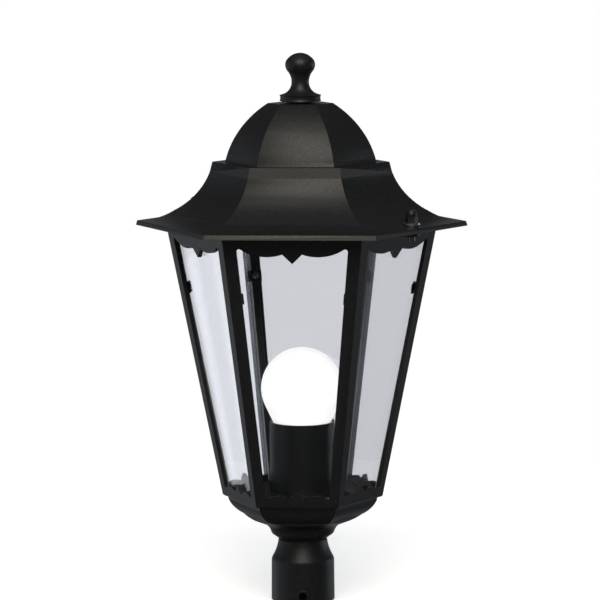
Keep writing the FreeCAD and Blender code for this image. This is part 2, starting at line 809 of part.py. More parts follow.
def holder_body():
    """The ceramic body: a solid base with terminals below and a deep well for the lamp's cap."""
    z = holder_z
    well = sleeve_r() + sleeve_t + thread_gap
    edge = holder_chamfer
    body = turned([(0, z), (holder_r - edge, z), (holder_r, z + edge), (holder_r, z + holder_base_h),
                   (holder_neck_r, z + holder_base_h + holder_r - holder_neck_r),
                   (holder_neck_r, holder_top), (0, holder_top)])
    body = body.cut(rod(well, (0, 0, well_z), holder_top - well_z))
    for side in (-1, 1):
        place = (side * holder_screw_x(), 0, z)
        body = body.cut(rod(holder_screw_r + thread_gap, place, holder_screw_in + hole_spare))
    return body


def thread_sleeve():
    r = sleeve_r()
    top = holder_top - sleeve_in
    sleeve = pipe(r + sleeve_t, r, well_z + sleeve_from, top)
    foot = pipe(r + sleeve_t, r - sleeve_foot_w, well_z, well_z + sleeve_t)
    strip = Part.makeBox(2 * r, sleeve_link_w, top - well_z, V(0, -sleeve_link_w / 2, well_z))
    link = strip.common(pipe(r + sleeve_t, r, well_z, top))
    return joined([sleeve, foot, link])


def centre_contact():
    """A springy strip that rises from the well's floor to the lamp's button."""
    z = well_z
    t = contact_t
    top = contact_z
    end, foot, flat, tip = contact_reach
    tip_z = top - contact_dip
    low = [(-end, z), (-foot, z), (-flat, top - t), (flat, top - t), (tip, tip_z - t)]
    high = [(tip, tip_z), (flat, top), (-flat - 0.6 * t, top), (-foot - 0.6 * t, z + t), (-end, z + t)]
    wire = Part.makePolygon([V(x, -contact_w / 2, h) for x, h in low + high + low[:1]])
    return Part.Face(wire).extrude(V(0, contact_w, 0))


def terminal_place(side):
    return side * terminal_x, terminal_y


def holder_terminals():
    """Two brass blocks under the holder's base, bored sideways for a core."""
    blocks = []
    for side in (-1, 1):
        x, y = terminal_place(side)
        corner = V(x - terminal_w / 2, y - terminal_d / 2, holder_z - terminal_h)
        block = Part.makeBox(terminal_w, terminal_d, terminal_h, corner)
        core_way = (x, y - terminal_d, holder_z - 0.45 * terminal_h)
        block = block.cut(rod(terminal_bore_r, core_way, 2 * terminal_d, V(0, 1, 0)))
        screw_hole = rod(terminal_screw_r + thread_gap, (x, y, holder_z - terminal_h), 0.4 * terminal_h)
        blocks.append(block.cut(screw_hole))
    return Part.makeCompound(blocks)


def terminal_screws():
    screw = pan_screw(terminal_screw_r, 0.35 * terminal_h, terminal_head_r, terminal_head_h)
    screw.rotate(V(0, 0, 0), V(1, 0, 0), 180)
    z = holder_z - terminal_h
    return Part.makeCompound([placed(screw, *terminal_place(side), z) for side in (-1, 1)])


def lamp_shroud():
    """A plain sleeve that stands on the floor plate round the lampholder, gripped by three ribs."""
    inner = shroud_r - shroud_wall
    body = pipe(shroud_r, inner, floor_z, floor_z + shroud_h)
    rib_in = holder_r + shroud_rib_gap
    rib_len = inner + shroud_wall / 2 - rib_in
    for azimuth in (30, 150, 270):
        rib = Part.makeBox(rib_len, shroud_rib_w, shroud_rib_h, V(rib_in, -shroud_rib_w / 2, floor_z))
        body = body.fuse(spun(rib, azimuth))
    return body.removeSplitter()


# ================================================================ lamp
def bulb_half_outline(inset):
    """The bulb's side from its neck to its crown, drawn in by the wall where inset is set."""
    top = button_z + bulb_len
    centre = top - bulb_r
    ball = bulb_r - inset
    slope = math.radians(bulb_taper)
    leave = (ball * math.cos(slope), centre - ball * math.sin(slope))
    cone_end = button_z + bulb_cone_end
    cone_r = leave[0] - math.tan(slope) * (leave[1] - cone_end)
    neck = bulb_neck_r - inset
    low = button_z + cap_len + inset
    mid_angle = math.radians((90 - bulb_taper) / 2)
    over = (ball * math.cos(mid_angle), centre + ball * math.sin(mid_angle), ARC)
    bend = (neck + 0.18 * (cone_r - neck), cone_end - 0.44 * bulb_neck_bend, ARC)
    return [(neck, low), (neck, cone_end - bulb_neck_bend), bend, (cone_r, cone_end), leave, over,
            (0, top - inset)]


def bulb_glass():
    """A hollow pear whose neck goes down into its cap."""
    plug = cap_r - cap_wall - bulb_plug_gap
    low = button_z + cap_len - bulb_plug_in
    outer = turned([(0, low), (plug, low), (plug, button_z + cap_len)] + bulb_half_outline(0))
    inner_side = bulb_half_outline(bulb_wall)
    well = plug - bulb_wall
    inner = turned([(0, low + bulb_wall), (well, low + bulb_wall), (well, inner_side[0][1])] + inner_side)
    return outer.cut(inner)


def bulb_cap():
    low = button_z + cap_button_h + cap_insulator_h
    top = button_z + cap_len
    w = cap_wall
    return turned([(cap_insulator_r, low), (cap_r, low + cap_cone_h), (cap_r, top), (cap_r - w, top),
                   (cap_r - w, low + cap_cone_h + w), (cap_insulator_r, low + 1.4 * w)])


def bulb_insulator():
    low = button_z + cap_button_h
    return turned([(0, low), (cap_button_r + insulator_step, low), (cap_insulator_r, low + cap_insulator_h),
                   (0, low + cap_insulator_h)])


def bulb_contact():
    return rod(cap_button_r, (0, 0, button_z), cap_button_h)


# ================================================================ the assembly
def named_parts():
    screws = set_screw_azimuths()
    parts = {
        "fitter": fitter(),
        "set_screw_front": set_screw(screws[0]),
        "set_screw_right": set_screw(screws[1]),
        "set_screw_left": set_screw(screws[2]),
        "neck_gasket": neck_gasket(),
        "nipple": nipple(),
        "nipple_washer_lower": nipple_washer(fitter_h - web_t - nipple_washer_t),
        "nipple_nut_lower": nipple_nut(nipple_ends()[0] + nipple_over),
        "nipple_washer_upper": nipple_washer(bracket_z + strap_t),
        "nipple_nut_upper": nipple_nut(bracket_z + strap_t + nipple_washer_t),
        "bowl": bowl(),
        "earth_washer": earth_washer(),
        "earth_screw": earth_screw(),
        "floor_plate": floor_plate(),
        "floor_screws": floor_screws(),
        "cage_frame": cage_frame(),
        "pane_clips": six_round(clip_plate()),
        "pane_clip_screws": six_round(clip_screw()),
        "roof_studs": roof_studs(),
        "roof_shell": roof_shell(),
        "finial": finial(),
        "finial_washer": finial_washer(),
        "finial_screw": finial_screw(),
        "holder_bracket": holder_bracket(),
        "holder_screws": holder_screws(),
        "holder_body": holder_body(),
        "thread_sleeve": thread_sleeve(),
        "centre_contact": centre_contact(),
        "holder_terminals": holder_terminals(),
        "terminal_screws": terminal_screws(),
        "lamp_shroud": lamp_shroud(),
        "bulb_glass": bulb_glass(),
        "bulb_cap": bulb_cap(),
        "bulb_insulator": bulb_insulator(),
        "bulb_contact": bulb_contact(),
    }
    for side, azimuth in zip(("right", "left"), lug_azimuths):
        parts["cap_washer_" + side] = cap_washer(azimuth)
        parts["cap_nut_" + side] = cap_nut(azimuth)
    for place, azimuth in (("front", -90), ("front_right", -30), ("rear_right", 30),
                           ("rear", 90), ("rear_left", 150), ("front_left", 210)):
        parts["glass_pane_" + place] = glass_pane(azimuth)
    return parts


os.makedirs("parts", exist_ok=True)
for name, shape in named_parts().items():
    shape.exportStep("parts/%s.step" % name)
    print("%-22s solids %d  volume %.1f" % (name, len(shape.Solids), shape.Volume))
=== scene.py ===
# %% [markdown]
# # A post top lantern, dressed in Blender
# The real thing is a small cast aluminium lantern that drops over a garden post. Its shapes are already
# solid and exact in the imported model, so this lesson leaves them where they are and gives each one the
# surface that it has in life: powder coat, window glass, opal glass, plated steel, brass and porcelain.
# Everything is in metres, +Z is up and one glazed side faces -Y.

# %% Load the lantern and measure it
import math

import bpy
from mathutils import Matrix, Vector


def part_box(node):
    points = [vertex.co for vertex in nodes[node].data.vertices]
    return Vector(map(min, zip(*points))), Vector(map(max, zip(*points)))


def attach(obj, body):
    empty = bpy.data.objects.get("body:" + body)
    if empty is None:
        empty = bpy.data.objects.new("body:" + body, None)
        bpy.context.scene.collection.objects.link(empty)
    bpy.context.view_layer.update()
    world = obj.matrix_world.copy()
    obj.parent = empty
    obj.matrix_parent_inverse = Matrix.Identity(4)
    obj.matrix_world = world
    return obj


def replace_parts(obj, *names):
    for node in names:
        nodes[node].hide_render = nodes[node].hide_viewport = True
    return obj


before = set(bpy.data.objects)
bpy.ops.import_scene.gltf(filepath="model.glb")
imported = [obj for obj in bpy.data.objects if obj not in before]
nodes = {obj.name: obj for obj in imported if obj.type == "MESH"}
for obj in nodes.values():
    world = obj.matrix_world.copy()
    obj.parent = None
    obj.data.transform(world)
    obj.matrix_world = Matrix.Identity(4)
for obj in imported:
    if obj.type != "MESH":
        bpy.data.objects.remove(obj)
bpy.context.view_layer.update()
MM = 0.001

# %% [markdown]
# ## Two helpers
# Colours are easiest to pick as hex, the way a paint chart prints them, but Blender mixes light in linear
# values, so one function turns the one into the other. A second function adds a shader node of any kind.
# Its inputs take either a value or the output of another node, which makes the links as the material is
# read, and a colour ramp gets its stops, each a place on the ramp and a colour.

# %% Colour and node helpers
def paint(hex_colour, alpha=1.0):
    """An sRGB hex colour as linear red, green, blue and alpha."""
    channels = [int(hex_colour[i:i + 2], 16) / 255 for i in (1, 3, 5)]
    return [c / 12.92 if c <= 0.04045 else ((c + 0.055) / 1.055) ** 2.4 for c in channels] + [alpha]


def add(tree, kind, inputs=None, stops=(), **settings):
    """One node with its settings; an input takes a value or another node's output."""
    made = tree.nodes.new(kind)
    for name, value in settings.items():
        setattr(made, name, value)
    for name, value in (inputs or {}).items():
        if isinstance(value, bpy.types.NodeSocket):
            tree.links.new(value, made.inputs[name])
        else:
            made.inputs[name].default_value = value
    for number, (position, colour) in enumerate(stops):
        made.color_ramp.elements[number].position = position
        made.color_ramp.elements[number].color = colour
    return made


def new_material(name):
    """An empty material and its node tree."""
    material = bpy.data.materials.new(name)
    material.use_nodes = True
    material.node_tree.nodes.clear()
    return material, material.node_tree


print("a mid grey paint, #808080, is", round(paint("#808080")[0], 3), "in linear light")

# %% [markdown]
# ## Powder coat on cast aluminium
# The roof, cage, bowl, fitter and finial are sand cast, shot blasted and covered with a black polyester
# powder that melts in an oven. It dries to a fine pimpled skin, half matt: the eye sees a soft sheen that
# breaks up into tiny sparkles. The casting under it is a little uneven, so broad reflections waver.
# Two noises make this, one for the skin and one for the casting, and both go into the bump. The pimples
# are 0.5 mm on the real coat, too fine for this distance, so they are drawn at 1.3 mm.

# %% Powder coat
COAT_GRAIN = 1.3 * MM
COAT_RELIEF = 0.12 * MM
CASTING_WAVE = 24 * MM
CASTING_RELIEF = 0.5 * MM


def powder_coat(name, dark, light, roughness):
    """A pimpled half matt skin over an uneven casting."""
    material, tree = new_material(name)
    place = add(tree, "ShaderNodeTexCoord").outputs["Object"]
    grain = add(tree, "ShaderNodeTexNoise",
                {"Vector": place, "Scale": 1 / COAT_GRAIN, "Detail": 2.0, "Roughness": 0.6}).outputs["Fac"]
    wave = add(tree, "ShaderNodeTexNoise",
               {"Vector": place, "Scale": 1 / CASTING_WAVE, "Detail": 1.0}).outputs["Fac"]
    uneven = add(tree, "ShaderNodeBump", {"Height": wave, "Strength": 0.25, "Distance": CASTING_RELIEF})
    skin = add(tree, "ShaderNodeBump",
               {"Height": grain, "Strength": 0.5, "Distance": COAT_RELIEF,
                "Normal": uneven.outputs["Normal"]})
    gloss = add(tree, "ShaderNodeMapRange",
                {"Value": grain, "From Min": 0.3, "From Max": 0.7,
                 "To Min": roughness - 0.06, "To Max": roughness + 0.06})
    colour = add(tree, "ShaderNodeValToRGB", {"Fac": grain},
                 stops=[(0.35, paint(dark)), (0.7, paint(light))])
    shader = add(tree, "ShaderNodeBsdfPrincipled",
                 {"Base Color": colour.outputs["Color"], "Roughness": gloss.outputs["Result"], "IOR": 1.5,
                  "Specular IOR Level": 0.4, "Normal": skin.outputs["Normal"]})
    add(tree, "ShaderNodeOutputMaterial", {"Surface": shader.outputs["BSDF"]})
    return material


black_coat = powder_coat("black_powder_coat", "#0F1011", "#191A1C", 0.45)
print("made", black_coat.name, "with pimples of", COAT_GRAIN / MM, "mm")

# %% [markdown]
# ## Window glass
# The panes are 3 mm float glass. Face on, each takes about a fifth of the light and looks faintly grey.
# Its cut edges are ground, so they are frosted and grey green. A pane's two big faces look outwards from
# the lantern's axis, or back at it, and its cut edges look past it, which is how the material tells them
# apart. A shadow ray goes straight through, because thin glass casts next to no shadow.

# %% Pane glass
SMEAR_SIZE = 30 * MM
FACES_AXIS = 0.6


def pane_glass():
    """Clear glass under a faint film, frosted wherever it doesn't face the lantern's axis."""
    material, tree = new_material("float_glass")
    geometry = add(tree, "ShaderNodeNewGeometry")
    place = add(tree, "ShaderNodeTexCoord").outputs["Object"]
    level = add(tree, "ShaderNodeVectorMath", {0: place, 1: (1, 1, 0)}, operation="MULTIPLY")
    outward = add(tree, "ShaderNodeVectorMath", {0: level.outputs["Vector"]}, operation="NORMALIZE")
    facing = add(tree, "ShaderNodeVectorMath", {0: outward.outputs["Vector"], 1: geometry.outputs["Normal"]},
                 operation="DOT_PRODUCT")
    size = add(tree, "ShaderNodeMath", {0: facing.outputs["Value"]}, operation="ABSOLUTE")
    edge = add(tree, "ShaderNodeMath", {0: size.outputs["Value"], 1: FACES_AXIS}, operation="LESS_THAN")
    smear = add(tree, "ShaderNodeTexNoise",
                {"Vector": place, "Scale": 1 / SMEAR_SIZE, "Detail": 3.0}).outputs["Fac"]
    film = add(tree, "ShaderNodeMapRange", {"Value": smear, "To Min": 0.0, "To Max": 0.04})
    face = add(tree, "ShaderNodeBsdfPrincipled",
               {"Base Color": paint("#ECEDF0"), "Roughness": film.outputs["Result"], "IOR": 1.5,
                "Transmission Weight": 1.0})
    ground = add(tree, "ShaderNodeBsdfPrincipled",
                 {"Base Color": paint("#6B7B76"), "Roughness": 0.5, "IOR": 1.5, "Transmission Weight": 0.4})
    solid = add(tree, "ShaderNodeMixShader",
                {0: edge.outputs["Value"], 1: face.outputs["BSDF"], 2: ground.outputs["BSDF"]})
    clear = add(tree, "ShaderNodeBsdfTransparent", {"Color": paint("#F0F2F3")})
    shadow = add(tree, "ShaderNodeLightPath").outputs["Is Shadow Ray"]
    shader = add(tree, "ShaderNodeMixShader",
                 {0: shadow, 1: solid.outputs["Shader"], 2: clear.outputs["BSDF"]})
    add(tree, "ShaderNodeOutputMaterial", {"Surface": shader.outputs["Shader"]})
    return material


float_glass = pane_glass()
print("made", float_glass.name, "with smears of", SMEAR_SIZE / MM, "mm")

# %% [markdown]
# ## The lamp
# The bulb is blown glass with a fine white silica coat inside, so it scatters light all through and shows
# no filament. It is switched on here, and evenly bright, so it glows as white as paper on top of a white,
# slightly satin glass that still mirrors a little. Its cap is drawn brass with a rolled thread, insulated
# from its round contact by black glass.

# %% Opal glass
CLOUD_SIZE = 12 * MM
LAMP_GLOW = 1.0


def opal_glass():
    """White satin glass that glows, with clouds just dark enough to be there."""
    material, tree = new_material("opal_glass")
    place = add(tree, "ShaderNodeTexCoord").outputs["Object"]
    cloud = add(tree, "ShaderNodeTexNoise",
                {"Vector": place, "Scale": 1 / CLOUD_SIZE, "Detail": 2.0}).outputs["Fac"]
    coat = add(tree, "ShaderNodeValToRGB", {"Fac": cloud},
               stops=[(0.3, paint("#F6F5F1")), (0.7, paint("#FCFBF8"))]).outputs["Color"]
    shader = add(tree, "ShaderNodeBsdfPrincipled",
                 {"Base Color": coat, "Roughness": 0.22, "IOR": 1.5,
                  "Emission Color": coat, "Emission Strength": LAMP_GLOW})
    add(tree, "ShaderNodeOutputMaterial", {"Surface": shader.outputs["BSDF"]})
    return material


opal = opal_glass()
print("made", opal.name, "with a glow of", LAMP_GLOW)

# %% [markdown]
# ## Metals
# Bright zinc plate on the steel screws and nuts, bare stainless steel on the studs and the clips' screws,
# black oxide on the set screws and the clips, and brass on whatever carries current. Each is metallic 1.0
# with its colour from a chart, faint patches and a soft drawn grain. A thread is a ridge for each turn: a
# wave along the screw with its real pitch, in the bump.

# %% Metals
PATCH_SIZE = 3 * MM
DRAWN_GRAIN = 0.4 * MM
DRAWN_RELIEF = 0.03 * MM
STUD_PITCH = 0.8 * MM
PIPE_PITCH = 1.0 * MM
LAMP_PITCH = 3.629 * MM


def bare_metal(name, dark, light, roughness, pitch=None):
    """A metal with faint patches and a drawn grain, and with a thread where it has a pitch."""
    material, tree = new_material(name)
    place = add(tree, "ShaderNodeTexCoord").outputs["Object"]
    patches = add(tree, "ShaderNodeTexNoise",
                  {"Vector": place, "Scale": 1 / PATCH_SIZE, "Detail": 3.0}).outputs["Fac"]
    gloss = add(tree, "ShaderNodeMapRange",
                {"Value": patches, "To Min": roughness - 0.08, "To Max": roughness + 0.08})
    fine = add(tree, "ShaderNodeTexNoise",
               {"Vector": place, "Scale": 1 / DRAWN_GRAIN, "Detail": 1.0}).outputs["Fac"]
    bump = add(tree, "ShaderNodeBump", {"Height": fine, "Strength": 0.15, "Distance": DRAWN_RELIEF})
    if pitch:
        along = add(tree, "ShaderNodeSeparateXYZ", {"Vector": place}).outputs["Z"]
        turns = add(tree, "ShaderNodeMath", {0: along, 1: 2 * math.pi / pitch}, operation="MULTIPLY")
        ridge = add(tree, "ShaderNodeMath", {0: turns.outputs["Value"]}, operation="SINE")
        bump = add(tree, "ShaderNodeBump",
                   {"Height": ridge.outputs["Value"], "Strength": 1.0, "Distance": 0.15 * pitch,
                    "Normal": bump.outputs["Normal"]})
    colour = add(tree, "ShaderNodeValToRGB", {"Fac": patches},
                 stops=[(0.3, paint(dark)), (0.7, paint(light))])
    shader = add(tree, "ShaderNodeBsdfPrincipled",
                 {"Base Color": colour.outputs["Color"], "Metallic": 1.0,
                  "Roughness": gloss.outputs["Result"], "Normal": bump.outputs["Normal"]})
    add(tree, "ShaderNodeOutputMaterial", {"Surface": shader.outputs["BSDF"]})
    return material


zinc = bare_metal("zinc_plated_steel", "#A9ABAA", "#C6C8C6", 0.34)
stainless = bare_metal("stainless_steel", "#B4B2AE", "#CDCBC7", 0.28)
stud_steel = bare_metal("stainless_studding", "#B4B2AE", "#CDCBC7", 0.28, STUD_PITCH)
pipe_steel = bare_metal("zinc_plated_threaded_pipe", "#A9ABAA", "#C6C8C6", 0.34, PIPE_PITCH)
black_oxide = bare_metal("black_oxide_steel", "#1B1B1C", "#2A2A2B", 0.4)
brass = bare_metal("brass", "#B08A3E", "#D9B565", 0.3)
rolled_brass = bare_metal("rolled_brass_sleeve", "#B08A3E", "#D9B565", 0.28, LAMP_PITCH)
print("made", [m.name for m in (zinc, stainless, stud_steel, pipe_steel, black_oxide, brass, rolled_brass)])

# %% [markdown]
# ## Porcelain, rubber, plastic and black glass
# The lampholder is glazed porcelain, off white with a clear gloss glaze. The sleeve round it is injection
# moulded, near black, with a fine spark texture from its tool. The gasket is EPDM rubber, dull and
# slightly grey. The lamp's insulator is poured black glass. They differ only in colour, gloss and the
# size of their grain, so one function makes all four.

# %% Porcelain, rubber, plastic, black glass
BROAD_PATCH = 15 * MM
MOULD_RELIEF = 0.1 * MM


def moulded(name, dark, light, roughness, grain_mm, relief, glaze=0.0):
    """A moulded or poured surface, with a clear glaze on top where it has one."""
    material, tree = new_material(name)
    place = add(tree, "ShaderNodeTexCoord").outputs["Object"]
    grain = add(tree, "ShaderNodeTexNoise",
                {"Vector": place, "Scale": 1 / (grain_mm * MM), "Detail": 2.0}).outputs["Fac"]
    broad = add(tree, "ShaderNodeTexNoise",
                {"Vector": place, "Scale": 1 / BROAD_PATCH, "Detail": 1.0}).outputs["Fac"]
    gloss = add(tree, "ShaderNodeMapRange",
                {"Value": broad, "To Min": roughness - 0.05, "To Max": roughness + 0.05})
    bump = add(tree, "ShaderNodeBump", {"Height": grain, "Strength": relief, "Distance": MOULD_RELIEF})
    colour = add(tree, "ShaderNodeValToRGB", {"Fac": grain},
                 stops=[(0.3, paint(dark)), (0.7, paint(light))])
    shader = add(tree, "ShaderNodeBsdfPrincipled",
                 {"Base Color": colour.outputs["Color"], "Roughness": gloss.outputs["Result"], "IOR": 1.5,
                  "Coat Weight": glaze, "Coat Roughness": 0.08, "Normal": bump.outputs["Normal"]})
    add(tree, "ShaderNodeOutputMaterial", {"Surface": shader.outputs["BSDF"]})
    return material


porcelain = moulded("glazed_porcelain", "#E6E2D8", "#F1EEE6", 0.3, 4.0, 0.1, glaze=0.8)
sleeve_plastic = moulded("black_moulded_plastic", "#090C09", "#101310", 0.36, 0.9, 0.35)
rubber = moulded("rubber", "#18191A", "#242526", 0.75, 0.8, 0.4)
black_glass = moulded("black_glass", "#08080A", "#101013", 0.12, 3.0, 0.1)
print("made", [m.name for m in (porcelain, sleeve_plastic, rubber, black_glass)])

# %% [markdown]
# ## Dress every part
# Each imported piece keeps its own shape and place, and only its material changes. A table says who wears
# what, and the loop stops if a name in it is wrong.

# %% Give the parts their materials
wearing = {
    black_coat: ["roof_shell", "finial", "cap_nut_right", "cap_nut_left", "cage_frame", "bowl", "floor_plate",
                 "fitter"],
    float_glass: [n for n in nodes if n.startswith("glass_pane_")],
    opal: ["bulb_glass"],
    stainless: ["pane_clip_screws"],
    black_oxide: ["pane_clips", "set_screw_front", "set_screw_right", "set_screw_left"],
    stud_steel: ["roof_studs"],
    zinc: ["nipple_washer_lower", "nipple_nut_lower", "nipple_washer_upper", "nipple_nut_upper",
           "floor_screws", "finial_washer", "finial_screw", "cap_washer_right", "cap_washer_left",
           "holder_bracket", "holder_screws"],
    pipe_steel: ["nipple"],
    brass: ["earth_washer", "earth_screw", "centre_contact", "holder_terminals", "terminal_screws",
            "bulb_contact", "bulb_cap"],
    rolled_brass: ["thread_sleeve"],
    porcelain: ["holder_body"],
    sleeve_plastic: ["lamp_shroud"],
    rubber: ["neck_gasket"],
    black_glass: ["bulb_insulator"],
}
dressed = []
for material, names in wearing.items():
    for name in names:
        nodes[name].material_slots[0].material = material
        dressed.append(name)
print(len(dressed), "parts dressed, left out:", sorted(set(nodes) - set(dressed)))

# %% [markdown]
# ## The edges of a casting
# Powder draws back from a sharp edge and the casting itself is never sharp, so every outer edge has a
# small round that catches the light as a thin line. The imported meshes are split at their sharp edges, so
# a Weld closes them first and a Bevel then rounds what is sharper than 30 degrees.

# %% Round the castings' edges
SEAM = 0.001 * MM
EDGE_ROUND = 0.5 * MM
SHARP = math.radians(30)
for name in ("roof_shell", "cage_frame", "floor_plate"):
    part = nodes[name]
    part.modifiers.new("close", "WELD").merge_threshold = SEAM
    bevel = part.modifiers.new("edge_round", "BEVEL")
    bevel.width = EDGE_ROUND
    bevel.segments = 2
    bevel.limit_method = "ANGLE"
    bevel.angle_limit = SHARP
    bevel.harden_normals = True
    print("rounded", name)

# %% [markdown]
# ## The lamp's screw cap
# A lamp cap is thin brass rolled into a round thread, 3.629 mm a turn, 26 mm across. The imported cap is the
# plain tube that the thread fits in. This mesh is a grid of points round and up the cap whose radius
# follows a wave that climbs one pitch each turn, fading out at both ends.

# %% Roll the thread
CAP_END = 9.2 * MM       # radius where the cap meets its insulator
CAP_CONE = 2.6 * MM      # height of the round shoulder above that
CAP_PLAIN = 5 * MM       # smooth band under the bulb
CAP_WALL = 0.3 * MM
THREAD_DEPTH = 0.9 * MM
THREAD_FADE = 0.6 * LAMP_PITCH


def lamp_cap():
    """The cap's wall, rolled into a thread between its shoulder and its smooth band."""
    low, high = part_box("bulb_cap")
    crest = high.x
    around, rows = 72, 90
    points = []
    for row in range(rows + 1):
        z = low.z + (high.z - low.z) * row / rows
        taper = min(1.0, (z - low.z) / CAP_CONE)
        start = min(1.0, max(0.0, (z - low.z - CAP_CONE) / THREAD_FADE))
        stop = min(1.0, max(0.0, (high.z - CAP_PLAIN - z) / THREAD_FADE))
        plain = CAP_END + (crest - CAP_END) * math.sin(taper * math.pi / 2)
        for step in range(around):
            angle = 2 * math.pi * step / around
            wave = 0.5 - 0.5 * math.cos(2 * math.pi * z / LAMP_PITCH - angle)
            r = plain - THREAD_DEPTH * wave * start * stop
            points.append((r * math.cos(angle), r * math.sin(angle), z))
    faces = []
    for row in range(rows):
        for step in range(around):
            a = row * around + step
            b = row * around + (step + 1) % around
            faces.append((a, b, b + around, a + around))
    mesh = bpy.data.meshes.new("lamp_cap")
    mesh.from_pydata(points, [], faces)
    mesh.materials.append(brass)
    for face in mesh.polygons:
        face.use_smooth = True
    piece = bpy.data.objects.new("lamp_cap_threaded", mesh)
    bpy.context.scene.collection.objects.link(piece)
    piece.modifiers.new("wall", "SOLIDIFY").thickness = CAP_WALL
    return piece


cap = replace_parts(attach(lamp_cap(), "lamp"), "bulb_cap")
print("rolled a thread of", len(cap.data.polygons), "faces")

# %% [markdown]
# ## Floor, backdrop and light
# The lantern stands on a pale round table top in a white studio. Looked at straight, or through a pane,
# the table and the studio are white, and the table's own share of light still carries the shadow. Black
# things are lit by what they mirror, and most of this studio is dark to a mirror: only the backdrop and two
# low screens beside it, left and right, are bright, and they show in the panes and along the top edges.
# The left wall and the ceiling are grey. One large warm light in front, high enough to miss the panes, puts
# the sheen on the dome and the skirt. So a ray has to know how it got where it is, and one helper tells.

# %% How a ray got here
HALF_A_BOUNCE = 0.5


def straight_view(tree):
    """1 for what is seen straight or through glass alone, and 1 for what a shiny surface mirrors."""
    path = add(tree, "ShaderNodeLightPath").outputs
    view = add(tree, "ShaderNodeMath", {0: path["Is Camera Ray"], 1: path["Is Transmission Ray"]},
               operation="MAXIMUM")
    bounces = add(tree, "ShaderNodeMath", {0: path["Glossy Depth"], 1: path["Diffuse Depth"]},
                  operation="ADD")
    unbent = add(tree, "ShaderNodeMath", {0: bounces.outputs["Value"], 1: HALF_A_BOUNCE},
                 operation="LESS_THAN")
    straight = add(tree, "ShaderNodeMath", {0: view.outputs["Value"], 1: unbent.outputs["Value"]},
                   operation="MULTIPLY")
    mirrored = add(tree, "ShaderNodeMath", {0: path["Glossy Depth"], 1: HALF_A_BOUNCE},
                   operation="GREATER_THAN")
    return straight.outputs["Value"], mirrored.outputs["Value"]


print("a ray is straight, mirrored or scattered")

# %% [markdown]
# ## The table top
# It is matt white board, a little mottled. It takes the lantern's shadow, and a glow that only a straight
# look sees lifts the rest of it to white. A mirrored ray passes through it, or the edge of the board would
# cross the panes.

# %% Floor
TABLE_GLOW = 0.52
MOTTLE_SCALE = 6.0
floor_material, tree = new_material("pale_table_top")
floor_material.cycles.emission_sampling = "NONE"
straight, mirrored = straight_view(tree)
place = add(tree, "ShaderNodeTexCoord").outputs["Object"]
mottle = add(tree, "ShaderNodeTexNoise",
             {"Vector": place, "Scale": MOTTLE_SCALE, "Detail": 2.0}).outputs["Fac"]
board = add(tree, "ShaderNodeValToRGB", {"Fac": mottle},
            stops=[(0.0, paint("#EDEDED")), (1.0, paint("#F2F2F2"))])
matt = add(tree, "ShaderNodeBsdfPrincipled",
           {"Base Color": board.outputs["Color"], "Roughness": 0.9, "Specular IOR Level": 0.1})
lift = add(tree, "ShaderNodeMath", {0: straight, 1: TABLE_GLOW}, operation="MULTIPLY")
glow = add(tree, "ShaderNodeEmission", {"Color": paint("#FFFFFF"), "Strength": lift.outputs["Value"]})
lit = add(tree, "ShaderNodeAddShader", {0: matt.outputs["BSDF"], 1: glow.outputs["Emission"]})
through = add(tree, "ShaderNodeBsdfTransparent", {"Color": paint("#FFFFFF")})
both = add(tree, "ShaderNodeMixShader", {0: mirrored, 1: lit.outputs["Shader"], 2: through.outputs["BSDF"]})
add(tree, "ShaderNodeOutputMaterial", {"Surface": both.outputs["Shader"]})

FLOOR_R = 0.6
FLOOR_Z = -0.5 * MM
ring = [(FLOOR_R * math.cos(math.radians(a)), FLOOR_R * math.sin(math.radians(a)), FLOOR_Z)
        for a in range(0, 360, 6)]
floor_mesh = bpy.data.meshes.new("floor")
floor_mesh.from_pydata(ring, [], [range(len(ring))])
floor_mesh.materials.append(floor_material)
floor = bpy.data.objects.new("floor", floor_mesh)
bpy.context.scene.collection.objects.link(floor)
print("floor", 2 * FLOOR_R, "m across")

# %% [markdown]
# ## The studio in a mirror
# A ray that leaves the lantern ends somewhere in the studio, and its direction says where: Z is how high, X
# how far to the right and Y how far back. A soft step along one of them is the edge of a screen or a wall.
# Steps that are multiplied make a patch with several edges, and where patches meet the brightest one wins.

# %% Soft edges of the screens and walls
DARK = 0.05
# Each row: the direction it runs along, where it starts and ends, and its value before and after.
EDGES = {
    "screen_foot": ("Z", -0.4, -0.3, 0.0, 1.0),
    "screen_top": ("Z", 0.08, 0.16, 1.0, 0.0),
    "left_screen": ("Z", -0.2, -0.08, 1.15, 0.5),
    "right_screen": ("Z", -0.2, -0.08, 0.25, 2.2),
    "backdrop_foot": ("Z", -0.8, -0.65, 0.0, 1.0),
    "backdrop_top": ("Z", 0.15, 0.3, 1.0, 0.0),
    "backdrop_side": ("Z", -0.1, 0.1, 0.62, 0.88),
    "left_wall": ("X", -0.9, -0.6, 0.4, DARK),
}
world = bpy.data.worlds.new("studio")
bpy.context.scene.world = world
world.use_nodes = True
world.cycles.sampling_method = "NONE"
tree = world.node_tree
tree.nodes.clear()
ray = add(tree, "ShaderNodeTexCoord").outputs["Generated"]
axis = add(tree, "ShaderNodeSeparateXYZ", {"Vector": ray}).outputs
soft = {}
for name, (along, start, end, before, after) in EDGES.items():
    soft[name] = add(tree, "ShaderNodeMapRange",
                     {"Value": axis[along], "From Min": start, "From Max": end,
                      "To Min": before, "To Max": after}).outputs["Result"]
print(len(soft), "soft edges")

